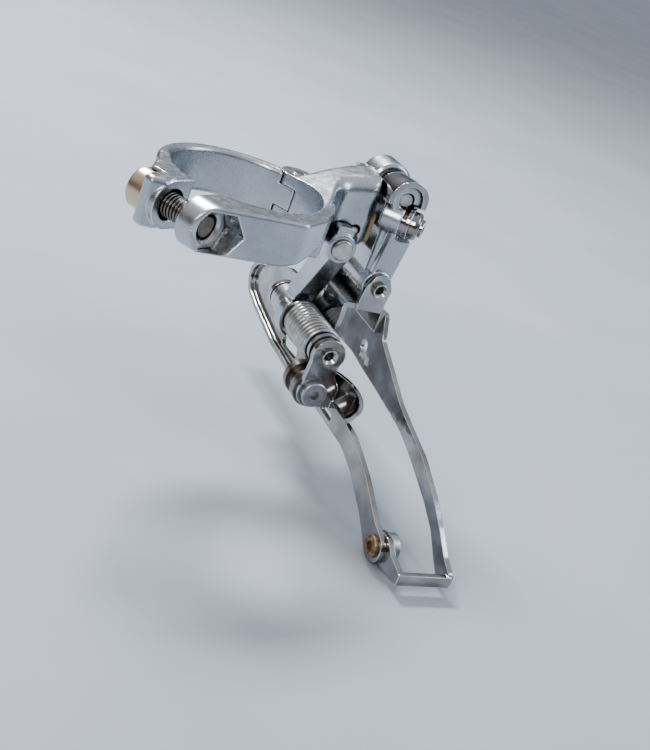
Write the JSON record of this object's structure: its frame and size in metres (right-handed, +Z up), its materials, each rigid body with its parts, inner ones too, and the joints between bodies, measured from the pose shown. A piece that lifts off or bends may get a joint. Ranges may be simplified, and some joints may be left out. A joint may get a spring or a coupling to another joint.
{
  "type": "bicycle front derailleur",
  "caption": "Band-clamp front derailleur: hinged seat-tube clamp, parallelogram links with torsion spring, cable anchor and a bent chrome cage.",
  "frame": {"origin": "centre of the seat-tube clamp bore, half way up the band", "axes": "+Z up the seat tube, +X outboard towards the chainrings, +Y forward"},
  "size_m": [0.0696, 0.1022, 0.0647],
  "materials": {
    "satin_alloy": "satin anodised",
    "chrome_steel": "polished chrome plate",
    "pin_steel": "bright steel",
    "zinc_steel": "zinc plated",
    "spring_steel": "drawn wire",
    "dark_steel": "dull, oiled",
    "nylon": "natural nylon"
  },
  "bodies": {
    "body": {"body_casting": "satin_alloy", "hinge_pin": "pin_steel", "clamp_nut": "pin_steel", "stop_pad": "nylon", "inner_pivot_pin": "pin_steel", "outer_pivot_pin": "pin_steel"},
    "band": {"clamp_band": "satin_alloy"},
    "washer": {"clamp_washer": "zinc_steel"},
    "bolt": {"clamp_bolt": "dark_steel"},
    "low_screw": {"low_limit_screw": "zinc_steel"},
    "high_screw": {"high_limit_screw": "zinc_steel"},
    "inner_arm": {"inner_link": "satin_alloy", "inner_link_bush": "nylon"},
    "outer_arm": {"outer_link": "satin_alloy", "outer_link_bushes": "nylon", "cable_saddle": "chrome_steel", "cable_washer": "chrome_steel"},
    "anchor_bolt": {"cable_bolt": "chrome_steel"},
    "cage": {"cage_inner_plate": "chrome_steel", "cage_outer_plate": "chrome_steel", "cage_inner_pin": "pin_steel", "cage_outer_pin": "pin_steel", "pin_clips": "spring_steel", "tail_screw": "zinc_steel", "tail_nut": "zinc_steel", "return_spring": "spring_steel", "spring_sleeve": "zinc_steel", "anchor_spool": "dark_steel", "anchor_screw": "zinc_steel"}
  },
  "joints": [
    {"name": "band_hinge", "type": "hinge", "parent": "body", "child": "band", "pos_m": [0.01586, 0.01152, 0], "axis": [0, 0, -1], "range_deg": [0, 3.4]},
    {"name": "bolt_travel", "type": "slide", "parent": "body", "child": "washer", "axis": [-0.5, 0.866, 0], "range_m": [0, 0.0029]},
    {"name": "bolt_turn", "type": "hinge", "parent": "washer", "child": "bolt", "pos_m": [-0.02183, -0.00279, 0], "axis": [-0.5, 0.866, 0], "range_deg": [0, 1305]},
    {"name": "low_screw_turn", "type": "hinge", "parent": "body", "child": "low_screw", "pos_m": [0.02935, 0.0129, -0.0024], "axis": [0, 1, 0], "range_deg": [-360, 360]},
    {"name": "high_screw_turn", "type": "hinge", "parent": "body", "child": "high_screw", "pos_m": [0.02117, 0.0129, -0.00506], "axis": [0, 1, 0], "range_deg": [-360, 360]},
    {"name": "inner_swing", "type": "hinge", "parent": "body", "child": "inner_arm", "pos_m": [0.026, 0, -0.006], "axis": [0, -1, 0], "range_deg": [0, 36], "stiffness_Nm_per_rad": 0.25, "springref_deg": -57.3},
    {"name": "outer_swing", "type": "hinge", "parent": "body", "child": "outer_arm", "pos_m": [0.0372, 0, 0.0073], "axis": [0, -1, 0], "range_deg": [0, 36]},
    {"name": "cage_swing", "type": "hinge", "parent": "inner_arm", "child": "cage", "pos_m": [0.026, 0, -0.026], "axis": [0, -1, 0], "range_deg": [-36, 0], "deforming": ["return_spring"]},
    {"name": "anchor_bolt_turn", "type": "hinge", "parent": "outer_arm", "child": "anchor_bolt", "pos_m": [0.0363, 0.0035, 0.0026], "axis": [0.7878, -0.6159, 0], "range_deg": [0, 720]}
  ],
  "couplings": [
    {"joint": "band_hinge", "follows": "bolt_travel", "rad_per_m": 20},
    {"joint": "bolt_turn", "follows": "bolt_travel", "rad_per_m": 7854},
    {"joint": "outer_swing", "follows": "inner_swing", "ratio": 1},
    {"joint": "cage_swing", "follows": "inner_swing", "ratio": -1}
  ]
}
